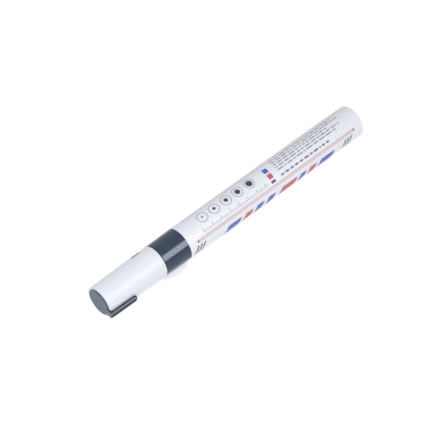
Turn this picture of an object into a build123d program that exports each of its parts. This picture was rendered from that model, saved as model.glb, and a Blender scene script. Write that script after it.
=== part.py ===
from build123d import *
import os
from math import cos, pi, sin, sqrt

# A valve-action paint marker lying on its side on a table: its length runs along X with the cap at -X,
# Z is up, and the origin is on the table under the middle of the marker. Millimetres.

os.makedirs("parts", exist_ok=True)

# Barrel: an extruded aluminium can
barrel_diameter = 15.0
barrel_length = 101.0
barrel_wall = 0.5
barrel_end_wall = 0.8
barrel_edge_radius = 1.0
barrel_lip_radius = 0.15

# Collar: the band between the barrel and the cap, its spigot in the barrel and its neck in the cap
collar_length = 13.0
collar_step = 0.05
collar_draft = 0.22
collar_edge_radius = 0.2
spigot_length = 7.0
spigot_wall = 1.5
neck_length = 8.0
neck_wall = 1.25
neck_bead_height = 0.08
neck_bead_width = 1.2
neck_bead_setback = 4.0
front_bore_depth = 12.0
web_wall = 1.5

# Seal between the collar's spigot and the barrel
seal_width = 1.4
seal_depth = 0.8
seal_setback = 3.0
seal_edge_radius = 0.3

# Cap shell
cap_length = 29.9
cap_step = 0.22
cap_draft = 0.39
cap_wall = 1.37
cap_end_edge_radius = 0.15
cap_mouth_edge_radius = 0.2

# End plug of the cap, with the pocket clip
plug_proud = 0.4
plug_disc = 1.3
plug_edge_radius = 0.25
plug_skirt_length = 5.0
plug_skirt_wall = 0.7
clip_turn = 99.0
clip_proud = 0.2
clip_length = 13.5
clip_width = 3.4
clip_gap = 0.4
clip_thickness = 1.0
clip_leg = 1.2
clip_tip_radius = 0.9
clip_bevel_width = 0.27
clip_bevel_depth = 0.42
clip_bead_setback = 1.5
clip_bead_clearance = 0.1

# Inner cap that seals the nib
liner_wall = 0.7
liner_end_wall = 0.8
liner_end_gap = 0.6
liner_flange = 1.0
liner_edge_radius = 0.5

# Nose cone that holds the nib
nose_flange = 1.0
nose_flange_step = 0.5
nose_land_step = 1.5
nose_land_length = 3.0
nose_taper_length = 6.0
nose_tip_wall = 0.7
nose_spigot_wall = 0.9
nose_rear_gap = 1.0
flute_count = 4
flute_radius = 0.35

# Nib
nib_diameter = 4.0
nib_exposed = 4.5
nib_bullet = 3.2
nib_travel = 2.0
nib_stop_gap = 0.5

# Valve: washer, cage, stem and spring
seat_thickness = 1.4
seat_opening = 0.6
port_opening = 1.1
stem_rod_diameter = 2.4
stem_tail_diameter = 2.6
stem_head = 1.8
stem_head_inset = 0.9
stem_tail_overhang = 1.0
cage_wall = 0.9
cage_flange = 1.0
cage_flange_step = 0.5
cage_tail_length = 6.0
cage_end_wall = 1.2
window_margin = 0.6
window_width = 2.0
spring_wire = 0.5
spring_turns = 8
spring_guide_gap = 0.45
spring_end_gap = 0.2

# Mixing balls
ball_diameter = 6.0
ball_gap = 0.3

# Clearances
press_clearance = 0.03
running_clearance = 0.06
seat_clearance = 0.05
cap_seam = 0.1
neck_clearance = 0.14
ball_clearance = 0.15

# Radii, worked out from the barrel inwards
barrel_radius = barrel_diameter / 2
barrel_bore = barrel_radius - barrel_wall
reservoir_edge_radius = max(barrel_edge_radius - barrel_wall, barrel_lip_radius)
spigot_radius = barrel_bore - press_clearance
chamber_radius = spigot_radius - spigot_wall
collar_radius = barrel_radius - collar_step
shoulder_radius = collar_radius - collar_draft
cap_mouth_outer = barrel_radius - cap_step
cap_end_outer = cap_mouth_outer - cap_draft
cap_bore = cap_mouth_outer - cap_wall
plug_radius = cap_bore - press_clearance
neck_radius = cap_bore - neck_clearance
front_bore = neck_radius - neck_wall
nib_radius = nib_diameter / 2
nib_bore = nib_radius + running_clearance
nose_land = neck_radius - nose_land_step
liner_bore = nose_land + running_clearance
liner_radius = liner_bore + liner_wall
rod_radius = stem_rod_diameter / 2
tail_radius = stem_tail_diameter / 2
cage_radius = chamber_radius - press_clearance
cage_bore = cage_radius - cage_wall
head_radius = cage_bore - stem_head_inset
spring_radius = tail_radius + spring_guide_gap + spring_wire / 2
ball_radius = ball_diameter / 2

# Stations along the marker, from the cap's end to the barrel's rear
overall_length = clip_proud + plug_proud + cap_length + cap_seam + collar_length + barrel_length
clip_face_x = -overall_length / 2
plug_face_x = clip_face_x + clip_proud
cap_end_x = plug_face_x + plug_proud
cap_mouth_x = cap_end_x + cap_length
shoulder_x = cap_mouth_x + cap_seam
barrel_front_x = shoulder_x + collar_length
barrel_rear_x = barrel_front_x + barrel_length
reservoir_end_x = barrel_rear_x - barrel_end_wall
spigot_end_x = barrel_front_x + spigot_length
neck_front_x = shoulder_x - neck_length
web_front_x = neck_front_x + front_bore_depth
web_rear_x = web_front_x + web_wall
nose_tip_x = neck_front_x - nose_flange - nose_land_length - nose_taper_length
nose_rear_x = web_front_x - nose_rear_gap
nib_tip_x = nose_tip_x - nib_exposed
nib_rear_x = web_front_x - nib_travel - nib_stop_gap
plug_disc_x = plug_face_x + plug_disc
plug_skirt_x = plug_disc_x + plug_skirt_length
liner_end_x = plug_disc_x + liner_end_gap
liner_flange_x = plug_skirt_x + liner_flange
liner_mouth_x = neck_front_x - nose_flange - seat_clearance
cage_front_x = web_rear_x + seat_thickness
cage_end_x = spigot_end_x + cage_flange + cage_tail_length
head_front_x = cage_front_x + seat_clearance
head_rear_x = head_front_x + stem_head
tail_end_x = cage_end_x + stem_tail_overhang
clip_end_x = clip_face_x + clip_length

# The marker's own axis, and the plane through it on which sections are drawn: x along, y outwards
axis_point = (0, 0, barrel_radius)
marker_axis = Axis(axis_point, (1, 0, 0))
section = Plane(origin=axis_point, x_dir=(1, 0, 0), z_dir=(0, -1, 0))
clip_section = section.rotated((clip_turn, 0, 0))
clip_outwards = Axis(axis_point, clip_section.y_dir)


def edge_ring(part, x, radius):
    """The round edge of a part nearest to a station and a radius."""
    rings = part.edges().filter_by(GeomType.CIRCLE)
    return rings.sort_by(lambda ring: abs(ring.arc_center.X - x) + abs(ring.radius - radius))[0]


# Barrel, open at the front
with BuildPart() as barrel:
    with BuildSketch(section):
        with BuildLine():
            Polyline(
                (barrel_front_x, barrel_bore),
                (barrel_front_x, barrel_radius),
                (barrel_rear_x, barrel_radius),
                (barrel_rear_x, 0),
                (reservoir_end_x, 0),
                (reservoir_end_x, barrel_bore),
                close=True,
            )
        make_face()
    revolve(axis=marker_axis)
    fillet(edge_ring(barrel, barrel_rear_x, barrel_radius), barrel_edge_radius)
    fillet(edge_ring(barrel, reservoir_end_x, barrel_bore), reservoir_edge_radius)
    fillet(edge_ring(barrel, barrel_front_x, barrel_radius), barrel_lip_radius)
barrel.part.label = "barrel"
export_step(barrel.part, "parts/barrel.step")

# Collar, with the seal's groove round its spigot and a snap bead round its neck
seal_front_x = barrel_front_x + seal_setback
seal_rear_x = seal_front_x + seal_width
groove_radius = spigot_radius - seal_depth
bead_mid_x = shoulder_x - neck_bead_setback
bead_radius = neck_radius + neck_bead_height
port_radius = rod_radius + port_opening
with BuildPart() as collar:
    with BuildSketch(section):
        with BuildLine():
            Polyline(
                (neck_front_x, front_bore),
                (neck_front_x, neck_radius),
                (bead_mid_x - neck_bead_width / 2, neck_radius),
                (bead_mid_x, bead_radius),
                (bead_mid_x + neck_bead_width / 2, neck_radius),
                (shoulder_x, neck_radius),
                (shoulder_x, shoulder_radius),
                (barrel_front_x, collar_radius),
                (barrel_front_x, spigot_radius),
                (seal_front_x, spigot_radius),
                (seal_front_x, groove_radius),
                (seal_rear_x, groove_radius),
                (seal_rear_x, spigot_radius),
                (spigot_end_x, spigot_radius),
                (spigot_end_x, chamber_radius),
                (web_rear_x, chamber_radius),
                (web_rear_x, port_radius),
                (web_front_x, port_radius),
                (web_front_x, front_bore),
                close=True,
            )
        make_face()
    revolve(axis=marker_axis)
    fillet(edge_ring(collar, shoulder_x, shoulder_radius), collar_edge_radius)
collar.part.label = "collar"
export_step(collar.part, "parts/collar.step")

# Rubber ring in the spigot's groove
seal_middle = (groove_radius + barrel_bore) / 2
with BuildPart() as barrel_seal:
    with BuildSketch(section):
        with Locations(((seal_front_x + seal_rear_x) / 2, seal_middle)):
            RectangleRounded(
                seal_width - 2 * press_clearance,
                barrel_bore - groove_radius - 2 * press_clearance,
                seal_edge_radius,
            )
    revolve(axis=marker_axis)
barrel_seal.part.label = "barrel_seal"
export_step(barrel_seal.part, "parts/barrel_seal.step")

# Nose cone: a hollow spigot in the neck, a sealing land for the inner cap and a cone fluted for air
nose_spigot = front_bore - press_clearance
nose_chamber = nose_spigot - nose_spigot_wall
nose_flange_x = neck_front_x - nose_flange
nose_land_x = nose_flange_x - nose_land_length
nose_tip_radius = nib_bore + nose_tip_wall
with BuildPart() as nose_cone:
    with BuildSketch(section):
        with BuildLine():
            Polyline(
                (nose_tip_x, nib_bore),
                (nose_tip_x, nose_tip_radius),
                (nose_land_x, nose_land),
                (nose_flange_x, nose_land),
                (nose_flange_x, neck_radius - nose_flange_step),
                (neck_front_x, neck_radius - nose_flange_step),
                (neck_front_x, nose_spigot),
                (nose_rear_x, nose_spigot),
                (nose_rear_x, nose_chamber),
                (neck_front_x, nose_chamber),
                (neck_front_x, nib_bore),
                close=True,
            )
        make_face()
    revolve(axis=marker_axis)
    with BuildSketch(Plane(origin=(nose_tip_x, 0, barrel_radius), x_dir=(0, 1, 0), z_dir=(1, 0, 0))):
        with PolarLocations(nib_bore, flute_count):
            Circle(flute_radius)
    extrude(amount=neck_front_x - nose_tip_x, mode=Mode.SUBTRACT)
nose_cone.part.label = "nose_cone"
export_step(nose_cone.part, "parts/nose_cone.step")

# Fibre nib with a bullet point
with BuildPart() as nib:
    with BuildSketch(section):
        with BuildLine():
            EllipticalCenterArc((nib_tip_x + nib_bullet, 0), nib_bullet, nib_radius, 90, arc_size=90)
            Polyline(
                (nib_tip_x, 0),
                (nib_rear_x, 0),
                (nib_rear_x, nib_radius),
                (nib_tip_x + nib_bullet, nib_radius),
            )
        make_face()
    revolve(axis=marker_axis)
nib.part.label = "nib"
export_step(nib.part, "parts/nib.step")

# Rubber washer that the valve closes on
with BuildPart() as valve_seat:
    with BuildSketch(section):
        with BuildLine():
            Polyline(
                (web_rear_x, rod_radius + seat_opening),
                (web_rear_x, cage_radius),
                (cage_front_x, cage_radius),
                (cage_front_x, rod_radius + seat_opening),
                close=True,
            )
        make_face()
    revolve(axis=marker_axis)
valve_seat.part.label = "valve_seat"
export_step(valve_seat.part, "parts/valve_seat.step")

# Cage: a sleeve that clamps the washer, a flange on the spigot's end, and windows that let the paint in
cage_floor_x = cage_end_x - cage_end_wall
cage_flange_radius = spigot_radius - cage_flange_step
window_mid_x = (spigot_end_x + cage_flange + cage_floor_x) / 2
window_length = cage_tail_length - cage_end_wall - 2 * window_margin
with BuildPart() as valve_cage:
    with BuildSketch(section):
        with BuildLine():
            Polyline(
                (cage_front_x, cage_bore),
                (cage_front_x, cage_radius),
                (spigot_end_x, cage_radius),
                (spigot_end_x, cage_flange_radius),
                (spigot_end_x + cage_flange, cage_flange_radius),
                (spigot_end_x + cage_flange, cage_radius),
                (cage_end_x, cage_radius),
                (cage_end_x, tail_radius + running_clearance),
                (cage_floor_x, tail_radius + running_clearance),
                (cage_floor_x, cage_bore),
                close=True,
            )
        make_face()
    revolve(axis=marker_axis)
    for window_turn in (0, 90):
        with BuildSketch(section.rotated((window_turn, 0, 0))):
            with Locations((window_mid_x, 0)):
                Rectangle(window_length, 2 * cage_flange_radius)
        extrude(amount=window_width / 2, both=True, mode=Mode.SUBTRACT)
valve_cage.part.label = "valve_cage"
export_step(valve_cage.part, "parts/valve_cage.step")

# Stem: a rod that meets the nib, a head behind the washer and a tail inside the spring
head_chamfer = stem_head / 2
with BuildPart() as valve_stem:
    with BuildSketch(section):
        with BuildLine():
            Polyline(
                (nib_rear_x + seat_clearance, 0),
                (nib_rear_x + seat_clearance, rod_radius),
                (head_front_x, rod_radius),
                (head_front_x, head_radius),
                (head_rear_x, head_radius),
                (head_rear_x, tail_radius),
                (tail_end_x, tail_radius),
                (tail_end_x, 0),
                close=True,
            )
        make_face()
    revolve(axis=marker_axis)
    chamfer(edge_ring(valve_stem, head_rear_x, head_radius), head_chamfer)
valve_stem.part.label = "valve_stem"
export_step(valve_stem.part, "parts/valve_stem.step")

# Spring: an open helix between the head and the cage's floor, straight for one wire diameter at each end
spring_front_x = head_rear_x + spring_end_gap + spring_wire / 2
spring_rear_x = cage_floor_x - spring_end_gap - spring_wire / 2
spring_pitch = (spring_rear_x - spring_front_x) / spring_turns


def spring_point(turn):
    """A point of the wire's middle line, so many turns from its front end."""
    angle = 2 * pi * turn
    return Vector(
        spring_front_x + spring_pitch * turn,
        spring_radius * sin(angle),
        barrel_radius + spring_radius * cos(angle),
    )


def spring_way(turn):
    """The direction of the wire at that point."""
    angle = 2 * pi * turn
    around = 2 * pi * spring_radius
    return Vector(spring_pitch, around * cos(angle), -around * sin(angle)).normalized()


def biarc_middle(start, start_way, end, end_way):
    """Where two arcs that leave one point and reach another in given directions meet, and their way there."""
    span = end - start
    ways = start_way + end_way
    square = 2 * (start_way.dot(end_way) - 1)
    linear = -2 * span.dot(ways)
    reach = (-linear - sqrt(linear**2 - 4 * square * span.dot(span))) / (2 * square)
    near = start + start_way * reach
    far = end - end_way * reach
    return (near + far) * 0.5, (far - near).normalized()


with BuildPart() as valve_spring:
    with BuildLine() as wire:
        first = spring_point(0)
        Line(first - spring_way(0) * spring_wire, first)
        for half_turn in range(2 * spring_turns):
            start, end = spring_point(half_turn / 2), spring_point((half_turn + 1) / 2)
            start_way, end_way = spring_way(half_turn / 2), spring_way((half_turn + 1) / 2)
            middle, middle_way = biarc_middle(start, start_way, end, end_way)
            TangentArc(start, middle, tangent=start_way)
            TangentArc(middle, end, tangent=middle_way)
        last = spring_point(spring_turns)
        Line(last, last + spring_way(spring_turns) * spring_wire)
    with BuildSketch(wire.line ^ 0):
        Circle(spring_wire / 2)
    sweep()
valve_spring.part.label = "valve_spring"
export_step(valve_spring.part, "parts/valve_spring.step")

steps_per_turn = 24
wire_points = [spring_point(step / steps_per_turn) for step in range(spring_turns * steps_per_turn + 1)]
least_gap = min(
    (wire_points[later] - wire_points[earlier]).length - spring_wire
    for earlier in range(len(wire_points))
    for later in range(earlier + steps_per_turn // 2, len(wire_points))
)
print(f"spring: least gap between turns {least_gap:.2f} mm")

# Mixing balls at the rear of the reservoir, lying on the barrel's wall
ball_drop = barrel_bore - ball_clearance - ball_radius
ball_1_x = reservoir_end_x - ball_gap - ball_radius
ball_2_x = ball_1_x - ball_diameter - ball_gap
for ball_name, ball_x in (("mixing_ball_1", ball_1_x), ("mixing_ball_2", ball_2_x)):
    with BuildPart() as ball:
        with Locations((ball_x, 0, barrel_radius - ball_drop)):
            Sphere(ball_radius)
    ball.part.label = ball_name
    export_step(ball.part, f"parts/{ball_name}.step")

# Cap shell: a tapered sleeve with a plain bore, notched at its end for the clip
notch_x = clip_face_x + clip_leg + press_clearance
notch_middle = (cap_bore + cap_mouth_outer) / 2
with BuildPart() as cap_shell:
    with BuildSketch(section):
        with BuildLine():
            Polyline(
                (cap_end_x, cap_bore),
                (cap_end_x, cap_end_outer),
                (cap_mouth_x, cap_mouth_outer),
                (cap_mouth_x, cap_bore),
                close=True,
            )
        make_face()
    revolve(axis=marker_axis)
    fillet(edge_ring(cap_shell, cap_end_x, cap_end_outer), cap_end_edge_radius)
    fillet(edge_ring(cap_shell, cap_mouth_x, cap_mouth_outer), cap_mouth_edge_radius)
    with BuildSketch(clip_section):
        with Locations(((cap_end_x + notch_x) / 2, notch_middle)):
            Rectangle(notch_x - cap_end_x, cap_mouth_outer - cap_bore + 2 * cap_wall)
    extrude(amount=clip_width / 2 + press_clearance, both=True, mode=Mode.SUBTRACT)
cap_shell.part.label = "cap_shell"
export_step(cap_shell.part, "parts/cap_shell.step")

# End plug: a disc and skirt in the shell's end, and the clip that runs back along the shell
clip_root_inner = cap_end_outer + clip_gap
clip_rise = cap_draft * clip_length / cap_length
clip_tip_inner = clip_root_inner + clip_rise
bead_x = clip_end_x - clip_bead_setback
bead_inner = clip_tip_inner - clip_rise * clip_bead_setback / clip_length
with BuildPart() as cap_plug:
    with BuildSketch(section):
        with BuildLine():
            Polyline(
                (plug_face_x, 0),
                (plug_face_x, plug_radius),
                (plug_skirt_x, plug_radius),
                (plug_skirt_x, plug_radius - plug_skirt_wall),
                (plug_disc_x, plug_radius - plug_skirt_wall),
                (plug_disc_x, 0),
                close=True,
            )
        make_face()
    revolve(axis=marker_axis)
    fillet(edge_ring(cap_plug, plug_face_x, plug_radius), plug_edge_radius)
    with BuildSketch(clip_section):
        with BuildLine():
            Polyline(
                (clip_face_x, plug_radius - plug_skirt_wall),
                (clip_face_x, clip_root_inner + clip_thickness),
                (clip_end_x, clip_tip_inner + clip_thickness),
                (clip_end_x, clip_tip_inner),
                (clip_face_x + clip_leg, clip_root_inner),
                (clip_face_x + clip_leg, plug_radius - plug_skirt_wall),
                close=True,
            )
        make_face()
        with Locations((bead_x, bead_inner)):
            Circle(clip_gap - clip_bead_clearance)
    extrude(amount=clip_width / 2, both=True)
    tip_corners = cap_plug.edges().filter_by(clip_outwards).group_by(Axis.X)[-1]
    fillet(tip_corners, clip_tip_radius)
    clip_back = cap_plug.faces().sort_by(clip_outwards)[-1]
    clip_rim = clip_back.edges().sort_by(Axis.X)[1:]
    chamfer(clip_rim, clip_bevel_width, clip_bevel_depth, reference=clip_back)
cap_plug.part.label = "cap_plug"
export_step(cap_plug.part, "parts/cap_plug.step")

# Inner cap: a cup over the nib, its flange pressed into the shell's bore against the plug's skirt
with BuildPart() as inner_cap:
    with BuildSketch(section):
        with BuildLine():
            Polyline(
                (liner_end_x, 0),
                (liner_end_x, liner_radius),
                (plug_skirt_x, liner_radius),
                (plug_skirt_x, plug_radius),
                (liner_flange_x, plug_radius),
                (liner_flange_x, liner_radius),
                (liner_mouth_x, liner_radius),
                (liner_mouth_x, liner_bore),
                (liner_end_x + liner_end_wall, liner_bore),
                (liner_end_x + liner_end_wall, 0),
                close=True,
            )
        make_face()
    revolve(axis=marker_axis)
    fillet(edge_ring(inner_cap, liner_end_x, liner_radius), liner_edge_radius)
inner_cap.part.label = "inner_cap"
export_step(inner_cap.part, "parts/inner_cap.step")
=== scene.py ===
import math
import random

import bmesh
import bpy
from mathutils import Matrix, Vector


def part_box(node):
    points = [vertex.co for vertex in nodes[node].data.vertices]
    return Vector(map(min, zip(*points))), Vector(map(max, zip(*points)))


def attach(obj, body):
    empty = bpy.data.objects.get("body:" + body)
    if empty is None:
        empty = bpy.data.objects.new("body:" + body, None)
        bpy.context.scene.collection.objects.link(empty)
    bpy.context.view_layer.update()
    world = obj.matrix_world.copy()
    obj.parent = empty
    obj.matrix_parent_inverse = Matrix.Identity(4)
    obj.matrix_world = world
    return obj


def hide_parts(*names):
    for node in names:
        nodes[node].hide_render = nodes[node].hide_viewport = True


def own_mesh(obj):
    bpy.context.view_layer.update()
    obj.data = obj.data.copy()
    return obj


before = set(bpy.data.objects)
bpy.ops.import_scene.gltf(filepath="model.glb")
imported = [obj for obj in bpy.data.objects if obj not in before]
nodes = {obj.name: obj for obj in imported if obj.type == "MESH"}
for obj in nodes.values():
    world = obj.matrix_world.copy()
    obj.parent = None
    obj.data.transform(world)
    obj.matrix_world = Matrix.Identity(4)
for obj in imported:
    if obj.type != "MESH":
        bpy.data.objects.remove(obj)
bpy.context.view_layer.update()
mm = 0.001
along = Vector((1, 0, 0))
up = Vector((0, 0, 1))


# Materials: each has tones and a gloss that drift a little, and a fine grain in its relief.

noise_detail = 3.0
drift_start = 0.3
drift_end = 0.7
facing_full = 0.98
speckle_scale = 2600


def noise(tree, place, scale, stretch=(1, 1, 1)):
    """A noise texture in the object's own metres, stretched along its axes."""
    mapping = tree.nodes.new("ShaderNodeMapping")
    mapping.inputs["Scale"].default_value = stretch
    tree.links.new(place, mapping.inputs["Vector"])
    texture = tree.nodes.new("ShaderNodeTexNoise")
    texture.inputs["Scale"].default_value = scale
    texture.inputs["Detail"].default_value = noise_detail
    tree.links.new(mapping.outputs["Vector"], texture.inputs["Vector"])
    return texture.outputs["Fac"]


def blend_colours(tree, factor, dark, light):
    """A colour that follows a texture from one tone to another."""
    ramp = tree.nodes.new("ShaderNodeValToRGB")
    ramp.color_ramp.elements[0].position = drift_start
    ramp.color_ramp.elements[1].position = drift_end
    ramp.color_ramp.elements[0].color = (*dark, 1)
    ramp.color_ramp.elements[1].color = (*light, 1)
    tree.links.new(factor, ramp.inputs["Fac"])
    return ramp.outputs["Color"]


def blend_values(tree, factor, low, high, start=drift_start, end=drift_end):
    """A number that follows another from one value to the next."""
    span = tree.nodes.new("ShaderNodeMapRange")
    span.inputs["From Min"].default_value = start
    span.inputs["From Max"].default_value = end
    span.inputs["To Min"].default_value = low
    span.inputs["To Max"].default_value = high
    tree.links.new(factor, span.inputs["Value"])
    return span.outputs["Result"]


def finish(
    name, dark, light, roughness, tone_scale, grain_scale, bump, depth, stretch=(1, 1, 1), **sockets
):
    """A surface between two tones and two roughnesses; other shader inputs are given by name."""
    material = bpy.data.materials.new(name)
    material.use_nodes = True
    tree = material.node_tree
    shader = tree.nodes["Principled BSDF"]
    place = tree.nodes.new("ShaderNodeTexCoord").outputs["Object"]
    tone = noise(tree, place, tone_scale, stretch)
    grain = noise(tree, place, grain_scale, stretch)
    tree.links.new(blend_colours(tree, tone, dark, light), shader.inputs["Base Color"])
    tree.links.new(blend_values(tree, grain, *roughness), shader.inputs["Roughness"])
    relief = tree.nodes.new("ShaderNodeBump")
    relief.inputs["Strength"].default_value = bump
    relief.inputs["Distance"].default_value = depth
    tree.links.new(grain, relief.inputs["Height"])
    tree.links.new(relief.outputs["Normal"], shader.inputs["Normal"])
    for socket, value in sockets.items():
        shader.inputs[socket.replace("_", " ")].default_value = value
    return material


def dull_faces_and_paint_tone(material, direction, near, dark, light, roughness):
    """Makes what faces one way duller, as a textured mould face leaves it, and repaints its tone: a
    lighter tone there is painted light and a darker one is painted shade.

    The change starts where a face's cosine to the direction is near.
    """
    tree = material.node_tree
    shader = tree.nodes["Principled BSDF"]
    texture_place = tree.nodes.new("ShaderNodeTexCoord")
    facing = tree.nodes.new("ShaderNodeVectorMath")
    facing.operation = "DOT_PRODUCT"
    facing.inputs[1].default_value = direction
    tree.links.new(texture_place.outputs["Normal"], facing.inputs[0])
    mask = blend_values(tree, facing.outputs["Value"], 0.0, 1.0, near, facing_full)
    speckle = noise(tree, texture_place.outputs["Object"], speckle_scale)
    # the tone mixed in here is painted: it stands in for the light or shade that the face gets
    dulled_and_painted = blend_colours(tree, speckle, dark, light), blend_values(tree, speckle, *roughness)
    for socket, kind, end in zip(("Base Color", "Roughness"), ("RGBA", "FLOAT"), dulled_and_painted):
        mix = tree.nodes.new("ShaderNodeMix")
        mix.data_type = kind
        start_input, end_input = [
            slot for slot in mix.inputs if slot.enabled and slot.name in ("A", "B")
        ]
        result = next(slot for slot in mix.outputs if slot.enabled)
        tree.links.new(mask, mix.inputs["Factor"])
        tree.links.new(shader.inputs[socket].links[0].from_socket, start_input)
        tree.links.new(end, end_input)
        tree.links.new(result, shader.inputs[socket])


white_lacquer = finish(
    "white_lacquer",
    dark=(0.862, 0.868, 0.922),
    light=(0.884, 0.889, 0.940),
    roughness=(0.22, 0.30),
    tone_scale=90,
    grain_scale=1400,
    bump=0.05,
    depth=0.00002,
    IOR=1.36,
)
white_plastic = finish(
    "white_plastic",
    dark=(0.804, 0.831, 0.882),
    light=(0.827, 0.852, 0.898),
    roughness=(0.24, 0.32),
    tone_scale=120,
    grain_scale=2600,
    bump=0.04,
    depth=0.00002,
    IOR=1.36,
)
dark_plastic = finish(
    "dark_plastic",
    dark=(0.012, 0.028, 0.064),
    light=(0.016, 0.034, 0.074),
    roughness=(0.11, 0.17),
    tone_scale=150,
    grain_scale=2200,
    bump=0.03,
    depth=0.00002,
    IOR=1.53,
    Specular_Tint=(0.86, 0.93, 1.0, 1),
)
plug_plastic = finish(
    "plug_plastic",
    dark=(0.008, 0.018, 0.042),
    light=(0.011, 0.023, 0.050),
    roughness=(0.10, 0.15),
    tone_scale=150,
    grain_scale=2200,
    bump=0.03,
    depth=0.00002,
    IOR=1.5,
    Specular_Tint=(0.88, 0.95, 1.0, 1),
)
dull_faces_and_paint_tone(  # the cap's end: frosted, and its lighter grey tone is painted light
    plug_plastic,
    direction=(-1, 0, 0),
    near=0.90,
    dark=(0.123, 0.144, 0.197),
    light=(0.146, 0.171, 0.228),
    roughness=(0.50, 0.62),
)
dull_faces_and_paint_tone(  # the clip's outer face: rougher, and its darker tone is painted shade
    plug_plastic,
    direction=(0, -0.988, -0.156),
    near=0.94,
    dark=(0.007, 0.015, 0.034),
    light=(0.010, 0.020, 0.042),
    roughness=(0.62, 0.72),
)
natural_plastic = finish(
    "natural_plastic",
    dark=(0.74, 0.75, 0.74),
    light=(0.80, 0.81, 0.80),
    roughness=(0.34, 0.46),
    tone_scale=200,
    grain_scale=1800,
    bump=0.06,
    depth=0.00003,
    IOR=1.5,
    Subsurface_Weight=0.25,
    Subsurface_Scale=0.001,
)
nib_fibre = finish(
    "nib_fibre",
    dark=(0.78, 0.78, 0.75),
    light=(0.90, 0.90, 0.88),
    roughness=(0.75, 0.92),
    tone_scale=1200,
    grain_scale=5200,
    bump=0.35,
    depth=0.00006,
    stretch=(0.06, 1, 1),
    IOR=1.4,
)
seal_rubber = finish(
    "seal_rubber",
    dark=(0.018, 0.018, 0.019),
    light=(0.030, 0.030, 0.031),
    roughness=(0.55, 0.70),
    tone_scale=300,
    grain_scale=2400,
    bump=0.12,
    depth=0.00003,
    IOR=1.5,
)
steel = finish(
    "steel",
    dark=(0.56, 0.57, 0.59),
    light=(0.64, 0.65, 0.67),
    roughness=(0.16, 0.28),
    tone_scale=300,
    grain_scale=3200,
    bump=0.06,
    depth=0.00002,
    Metallic=1.0,
)

finishes = {
    "barrel": white_lacquer,
    "collar": dark_plastic,
    "barrel_seal": seal_rubber,
    "nose_cone": dark_plastic,
    "nib": nib_fibre,
    "valve_seat": seal_rubber,
    "valve_cage": natural_plastic,
    "valve_stem": natural_plastic,
    "valve_spring": steel,
    "mixing_ball_1": steel,
    "mixing_ball_2": steel,
    "cap_shell": white_plastic,
    "cap_plug": plug_plastic,
    "inner_cap": natural_plastic,
}
for node, material in finishes.items():
    nodes[node].material_slots[0].material = material


# Print: thin films of ink on the barrel and the cap. Sizes in this part are in millimetres.

ink_lift = 0.012
ink_sink = 0.05
ink_step = 0.4
ink_merge = 0.0001
ink_tone_drop = 0.93
corner_steps = 4
round_end_start = 20
ring_steps = 6

barrel_low, barrel_high = (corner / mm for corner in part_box("barrel"))
cap_low, cap_high = (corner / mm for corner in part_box("cap_shell"))
barrel_radius = (barrel_high.z - barrel_low.z) / 2
axis_height = barrel_low.z + barrel_radius
cap_mouth_radius = (cap_high.z - cap_low.z) / 2
cap_draft = 0.39
cap_slope = cap_draft / (cap_high.x - cap_low.x)
panel_turn = math.radians(31.2)


def around(x, radius, turn, lift):
    """A point on or near a round surface: turn is in radians from straight up towards -Y."""
    reach = radius + lift
    return Vector((x, -reach * math.sin(turn), axis_height + reach * math.cos(turn))) * mm


def on_barrel(u, v, lift):
    """u runs back from the barrel's front and v round it, down from the panel's middle line."""
    return around(barrel_low.x + u, barrel_radius, panel_turn + v / barrel_radius, lift)


def on_cap(u, v, lift):
    """u runs towards the cap's end from its mouth."""
    radius = cap_mouth_radius - cap_slope * u
    return around(cap_high.x - u, radius, panel_turn + v / cap_mouth_radius, lift)


def film(mesh, place, grid, loop=False):
    """One closed film of ink from rows of (u, v) points; a loop's rows close on themselves."""
    tops = [[mesh.verts.new(place(u, v, ink_lift)) for u, v in row] for row in grid]
    feet = [[mesh.verts.new(place(u, v, -ink_sink)) for u, v in row] for row in grid]
    count = len(grid[0])
    spans = [(j, (j + 1) % count) for j in range(count if loop else count - 1)]
    for i in range(len(grid) - 1):
        for j, k in spans:
            mesh.faces.new((tops[i][j], tops[i][k], tops[i + 1][k], tops[i + 1][j]))
            mesh.faces.new((feet[i][k], feet[i][j], feet[i + 1][j], feet[i + 1][k]))
    for j, k in spans:
        mesh.faces.new((tops[0][k], tops[0][j], feet[0][j], feet[0][k]))
        mesh.faces.new((tops[-1][j], tops[-1][k], feet[-1][k], feet[-1][j]))
    if not loop:
        for i in range(len(grid) - 1):
            mesh.faces.new((tops[i][0], tops[i + 1][0], feet[i + 1][0], feet[i][0]))
            mesh.faces.new((tops[i + 1][-1], tops[i][-1], feet[i][-1], feet[i + 1][-1]))


def bar(mesh, place, u, v, length, height, radius=None, slant=0.0):
    """A filled bar that starts at (u, v), rounded at its corners and leaning forwards by slant."""
    half = height / 2
    radius = min(length, height) / 2 if radius is None else radius
    start = 0 if radius < half else round_end_start
    corner = [
        math.radians(start + (90 - start) * step / corner_steps) for step in range(corner_steps + 1)
    ]
    ends = [(radius * (1 - math.cos(a)), half - radius + radius * math.sin(a)) for a in corner]
    back = [(length - x, h) for x, h in reversed(ends)]
    columns = ends + (back if length > 2 * radius else back[1:])
    rows = max(1, math.ceil(height / ink_step))
    levels = [2 * row / rows - 1 for row in range(rows + 1)]
    film(mesh, place, [
        [(u + x - slant * h * t / height, v + half + h * t) for x, h in columns] for t in levels
    ])


def dot(mesh, place, u, v, size):
    """A filled round dot about (u, v)."""
    bar(mesh, place, u - size / 2, v - size / 2, size, size)


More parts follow.
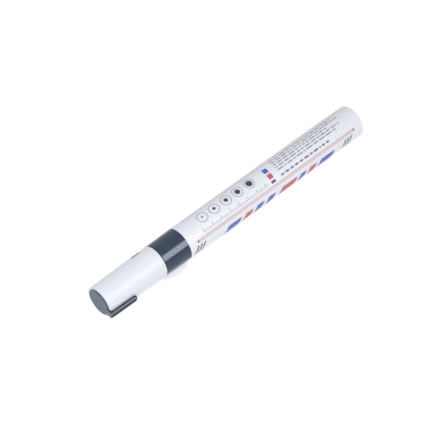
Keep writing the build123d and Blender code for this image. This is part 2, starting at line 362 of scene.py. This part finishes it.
def ring(mesh, place, u, v, size, radius, width):
    """The outline of a rounded square whose middle line starts at (u, v)."""
    corners = (
        (u + size - radius, v + size - radius, 0),
        (u + radius, v + size - radius, 90),
        (u + radius, v + radius, 180),
        (u + size - radius, v + radius, 270),
    )
    turns = [
        (mid_u, mid_v, math.radians(start + 90 * step / ring_steps))
        for mid_u, mid_v, start in corners
        for step in range(ring_steps + 1)
    ]
    rows = [
        [(mid_u + reach * math.cos(a), mid_v + reach * math.sin(a)) for mid_u, mid_v, a in turns]
        for reach in (radius - width / 2, radius + width / 2)
    ]
    film(mesh, place, follow_surface(rows), loop=True)


def follow_surface(rows):
    """Adds points along the upright sides of an outline, so that it lies on the round surface."""
    finer = [[] for _ in rows]
    count = len(rows[0])
    for j in range(count):
        k = (j + 1) % count
        rise = max(abs(row[k][1] - row[j][1]) for row in rows)
        steps = max(1, math.ceil(rise / ink_step))
        for row, out in zip(rows, finer):
            (u0, v0), (u1, v1) = row[j], row[k]
            out += [(u0 + (u1 - u0) * s / steps, v0 + (v1 - v0) * s / steps) for s in range(steps)]
    return finer


def ink(name, colour, draw, body="barrel_unit"):
    """One colour of the print as one piece, riding on what it is printed on."""
    mesh = bmesh.new()
    draw(mesh)
    bmesh.ops.remove_doubles(mesh, verts=mesh.verts, dist=ink_merge * mm)
    bmesh.ops.recalc_face_normals(mesh, faces=mesh.faces)
    data = bpy.data.meshes.new(name)
    mesh.to_mesh(data)
    mesh.free()
    piece = bpy.data.objects.new(name, data)
    bpy.context.scene.collection.objects.link(piece)
    data.materials.append(finish(
        "ink_" + name,
        dark=tuple(c * ink_tone_drop for c in colour),
        light=colour,
        roughness=(0.22, 0.32),
        tone_scale=1500,
        grain_scale=4200,
        bump=0.04,
        depth=0.00001,
        IOR=1.4,
    ))
    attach(piece, body)


# Ruled lines along the barrel with a dot at each end of the lower pair, and open squares behind
line_start = 4.6
line_length = 90.5
line_rows = (-8.3, 3.3, 4.1)
line_width = 0.26
end_dot_row = 3.83
end_dot_size = 1.1
square_starts = (12.0, 21.0, 30.0)
square_row = 19.5
square_size = 6.4
square_radius = 1.4

# Slanted colour blocks: where each starts and how long it is
blue_blocks = ((19.0, 7.6), (35.5, 4.2), (42.0, 4.2), (61.0, 3.4), (73.0, 8.4))
red_blocks = ((29.0, 4.2), (50.0, 9.0), (66.5, 4.2))
block_row = 6.7
block_height = 5.6
block_radius = 0.5
block_slant = 3.2

# A column of three colour swatches
swatch_start = 47.2
swatch_size = 2.4
swatch_radius = 0.4
blue_swatch_row = -5.3
red_swatch_row = -2.1
slate_swatch_row = 1.1
slate_swatch_height = 1.2

# Rings with dots that grow, over a row of ticks
ring_starts = (10.0, 16.6, 23.2, 29.8, 36.4)
ring_row = -6.2
ring_size = 4.8
ring_width = 0.2
first_dot_size = 0.9
dot_growth = 0.55
tick_start = 9.0
tick_count = 37
tick_foot = 2.2
tick_width = 0.22
tick_radius = 0.08
tick_height = 1.1
long_tick_height = 1.9
long_tick_every = 5

# Slanted strokes at both ends
stroke_starts = (2.6, 4.4, 6.2, 88.2, 90.0, 91.8)
stroke_row = 5.6
stroke_width = 0.8
stroke_height = 4.2
stroke_radius = 0.3
stroke_slant = 2.4

# Lines of small bars: row, end, height; then a second group behind
shortest_bar = 0.9
longest_bar = 3.6
bar_gap = 0.7
fine_height = 0.42
bold_height = 0.8
front_start = 53.0
front_lines = (
    (-7.0, 90, fine_height),
    (-5.6, 93, fine_height),
    (-4.2, 86, fine_height),
    (-2.8, 92, fine_height),
    (-1.4, 88, fine_height),
    (1.0, 82, bold_height),
)
front_seed = 11
back_start = 42.0
back_ends = (90, 85, 80, 90, 85, 80)
back_row = 19.3
back_pitch = 1.35
back_seed = 31

# One mark on the cap
cap_mark_start = 4.6
cap_mark_row = -9.6
cap_mark_length = 4.4
cap_mark_height = 1.5
cap_mark_radius = 0.5


def draw_blocks(mesh, blocks):
    for u, length in blocks:
        bar(mesh, on_barrel, u, block_row, length, block_height, block_radius, block_slant)


def draw_swatch(mesh, row, height=swatch_size):
    bar(mesh, on_barrel, swatch_start, row, swatch_size, height, swatch_radius)


def draw_bars(mesh, u, end, v, height, seed):
    """A line of bars of uneven length."""
    lengths = random.Random(seed)
    while True:
        length = lengths.uniform(shortest_bar, longest_bar)
        if u + length > end:
            return
        bar(mesh, on_barrel, u, v, length, height)
        u += length + bar_gap


def draw_red_lines(mesh):
    for v in line_rows:
        bar(mesh, on_barrel, line_start, v, line_length, line_width)
    for u in square_starts:
        ring(mesh, on_barrel, u, square_row, square_size, square_radius, line_width)


def draw_red(mesh):
    draw_blocks(mesh, red_blocks)
    draw_swatch(mesh, red_swatch_row)
    for u in (line_start, line_start + line_length):
        dot(mesh, on_barrel, u, end_dot_row, end_dot_size)


def draw_blue(mesh):
    draw_blocks(mesh, blue_blocks)
    draw_swatch(mesh, blue_swatch_row)


def draw_slate(mesh):
    ring_radius = ring_size / 2
    for step, u in enumerate(ring_starts):
        ring(mesh, on_barrel, u, ring_row, ring_size, ring_radius, ring_width)
        dot(mesh, on_barrel, u + ring_radius, ring_row + ring_radius, first_dot_size + dot_growth * step)
    for step in range(tick_count):
        height = tick_height if step % long_tick_every else long_tick_height
        bar(mesh, on_barrel, tick_start + step, tick_foot - height, tick_width, height, tick_radius)
    for u in stroke_starts:
        bar(mesh, on_barrel, u, stroke_row, stroke_width, stroke_height, stroke_radius, stroke_slant)
    draw_swatch(mesh, slate_swatch_row, slate_swatch_height)


def draw_grey(mesh):
    for line, (v, end, height) in enumerate(front_lines):
        draw_bars(mesh, front_start, end, v, height, front_seed + line)
    for line, end in enumerate(back_ends):
        draw_bars(mesh, back_start, end, back_row + back_pitch * line, fine_height, back_seed + line)


def draw_cap_mark(mesh):
    bar(mesh, on_cap, cap_mark_start, cap_mark_row, cap_mark_length, cap_mark_height, cap_mark_radius)


ink("print_red_lines", (0.62, 0.22, 0.22), draw_red_lines)
ink("print_red", (0.60, 0.13, 0.16), draw_red)
ink("print_blue", (0.09, 0.14, 0.50), draw_blue)
ink("print_slate", (0.06, 0.07, 0.11), draw_slate)
ink("print_grey", (0.17, 0.17, 0.21), draw_grey)
ink("cap_mark_red", (0.60, 0.13, 0.16), draw_cap_mark, "cap_unit")


# Valve spring with closed ends

spring_low, spring_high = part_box("valve_spring")
spring_wire = 0.5 * mm
spring_radius = (spring_high.z - spring_low.z) / 2 - spring_wire / 2
closed_pitch = spring_wire * 1.05


def spring_x(turn, turns):
    """How far along the wire's middle is after so many turns: closed for one turn at each end."""
    first, last = spring_low.x + spring_wire / 2, spring_high.x - spring_wire / 2
    if turn < 1:
        return first + closed_pitch * turn
    if turn > turns - 1:
        return last - closed_pitch * (turns - turn)
    return first + closed_pitch + (last - first - 2 * closed_pitch) * (turn - 1) / (turns - 2)


def make_spring(turns=10, steps=36, sides=10):
    """The wire as a tube of so many sides, swept in so many steps for each turn."""
    mesh = bmesh.new()
    middle = (spring_low.z + spring_high.z) / 2
    loops = []
    for step in range(turns * steps + 1):
        angle = 2 * math.pi * step / steps
        out = Vector((0, math.sin(angle), math.cos(angle)))
        centre = Vector((spring_x(step / steps, turns), 0, middle)) + out * spring_radius
        loops.append([
            mesh.verts.new(centre + (out * math.cos(a) + along * math.sin(a)) * spring_wire / 2)
            for a in (2 * math.pi * side / sides for side in range(sides))
        ])
    for before, after in zip(loops, loops[1:]):
        for side in range(sides):
            k = (side + 1) % sides
            mesh.faces.new((before[side], before[k], after[k], after[side]))
    mesh.faces.new(loops[0])
    mesh.faces.new(loops[-1])
    bmesh.ops.recalc_face_normals(mesh, faces=mesh.faces)
    data = bpy.data.meshes.new("spring_coil")
    mesh.to_mesh(data)
    mesh.free()
    data.shade_smooth()
    data.materials.append(steel)
    piece = bpy.data.objects.new("spring_coil", data)
    bpy.context.scene.collection.objects.link(piece)
    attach(piece, "barrel_unit")
    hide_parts("valve_spring")
    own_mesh(piece)


make_spring()


# Studio: surroundings, floor, lights and camera, in metres

white = (1, 1, 1, 1)
floor_grey = (0.9, 0.9, 0.9, 1)
floor_roughness = 0.9
floor_drop = 2 * ink_lift * mm
sensor_width = 36
clip_start = 0.01
marker_middle = (0, 0, 0.0075)
cap_middle = (-0.05, 0, 0.0075)


def seen_directly(tree):
    """1 for rays that show the surroundings, straight, in reflections or through clear pieces."""
    path = tree.nodes.new("ShaderNodeLightPath")
    total = path.outputs["Is Camera Ray"]
    for kind in ("Is Glossy Ray", "Is Transmission Ray"):
        largest = tree.nodes.new("ShaderNodeMath")
        largest.operation = "MAXIMUM"
        tree.links.new(total, largest.inputs[0])
        tree.links.new(path.outputs[kind], largest.inputs[1])
        total = largest.outputs["Value"]
    return total


def make_surroundings(level, colour):
    """Even light from all sides, which shows as plain white."""
    world = bpy.data.worlds.new("studio")
    world.use_nodes = True
    tree = world.node_tree
    lit = tree.nodes["Background"]
    lit.inputs["Color"].default_value = (*colour, 1)
    lit.inputs["Strength"].default_value = level
    shown = tree.nodes.new("ShaderNodeBackground")
    shown.inputs["Color"].default_value = white
    mix = tree.nodes.new("ShaderNodeMixShader")
    tree.links.new(seen_directly(tree), mix.inputs["Fac"])
    tree.links.new(lit.outputs["Background"], mix.inputs[1])
    tree.links.new(shown.outputs["Background"], mix.inputs[2])
    tree.links.new(mix.outputs["Shader"], tree.nodes["World Output"].inputs["Surface"])
    bpy.context.scene.world = world


def make_floor(size, glow):
    """A pale floor that takes the marker's shadow, lifted to white by a glow that lights nothing."""
    data = bpy.data.meshes.new("floor")
    half = size / 2
    corners = [(-half, -half, 0), (half, -half, 0), (half, half, 0), (-half, half, 0)]
    data.from_pydata(corners, [], [(0, 1, 2, 3)])
    floor = bpy.data.objects.new("floor", data)
    floor.location.z = -floor_drop
    bpy.context.scene.collection.objects.link(floor)
    material = bpy.data.materials.new("floor")
    material.use_nodes = True
    tree = material.node_tree
    shader = tree.nodes["Principled BSDF"]
    shader.inputs["Base Color"].default_value = floor_grey
    shader.inputs["Roughness"].default_value = floor_roughness
    shader.inputs["Specular IOR Level"].default_value = 0.0
    bright = tree.nodes.new("ShaderNodeEmission")
    bright.inputs["Color"].default_value = white
    strength = tree.nodes.new("ShaderNodeMath")
    strength.operation = "MULTIPLY"
    strength.inputs[1].default_value = glow
    tree.links.new(seen_directly(tree), strength.inputs[0])
    tree.links.new(strength.outputs["Value"], bright.inputs["Strength"])
    both = tree.nodes.new("ShaderNodeAddShader")
    tree.links.new(shader.outputs["BSDF"], both.inputs[0])
    tree.links.new(bright.outputs["Emission"], both.inputs[1])
    tree.links.new(both.outputs["Shader"], tree.nodes["Material Output"].inputs["Surface"])
    data.materials.append(material)


def make_softbox(name, place, target, width, height, radiance, colour):
    """A rectangular lamp facing a point, its width as near to the marker's length as it can lie."""
    back = (Vector(place) - Vector(target)).normalized()
    across = (along - back * along.dot(back)).normalized()
    light = bpy.data.lights.new(name, "AREA")
    light.shape = "RECTANGLE"
    light.size = width
    light.size_y = height
    light.energy = radiance * math.pi * width * height
    light.color = colour
    lamp = bpy.data.objects.new(name, light)
    turn = Matrix((across, back.cross(across), back)).transposed().to_4x4()
    lamp.matrix_world = Matrix.Translation(Vector(place)) @ turn
    bpy.context.scene.collection.objects.link(lamp)


def make_camera(back, aim, distance, lens):
    """A level camera at a distance from the point it aims at, back along the given direction."""
    back = Vector(back).normalized()
    right = up.cross(back).normalized()
    data = bpy.data.cameras.new("camera")
    data.lens = lens
    data.sensor_width = sensor_width
    data.clip_start = clip_start
    camera = bpy.data.objects.new("camera", data)
    turn = Matrix((right, back.cross(right), back)).transposed().to_4x4()
    camera.matrix_world = Matrix.Translation(Vector(aim) * mm + back * distance) @ turn
    bpy.context.scene.collection.objects.link(camera)
    bpy.context.scene.camera = camera


make_surroundings(level=0.50, colour=(0.955, 0.975, 1.0))
make_floor(size=4.0, glow=0.40)
make_softbox(
    "softbox_front",
    place=(0.375, -0.763, 0.674),
    target=marker_middle,
    width=0.22,
    height=0.68,
    radiance=7.25,
    colour=(0.97, 0.97, 0.95),
)
make_softbox(
    "softbox_cap",
    place=(-0.2, -0.051, 0.245),
    target=cap_middle,
    width=0.2,
    height=0.2,
    radiance=2.68,
    colour=(0.93, 0.935, 1.0),
)
make_camera(
    back=(-0.4372, -0.4662, 0.7691),
    aim=(-8.170, -2.275, 8.051),
    distance=0.68865,
    lens=136.54,
)
bpy.context.scene.view_settings.view_transform = "Standard"
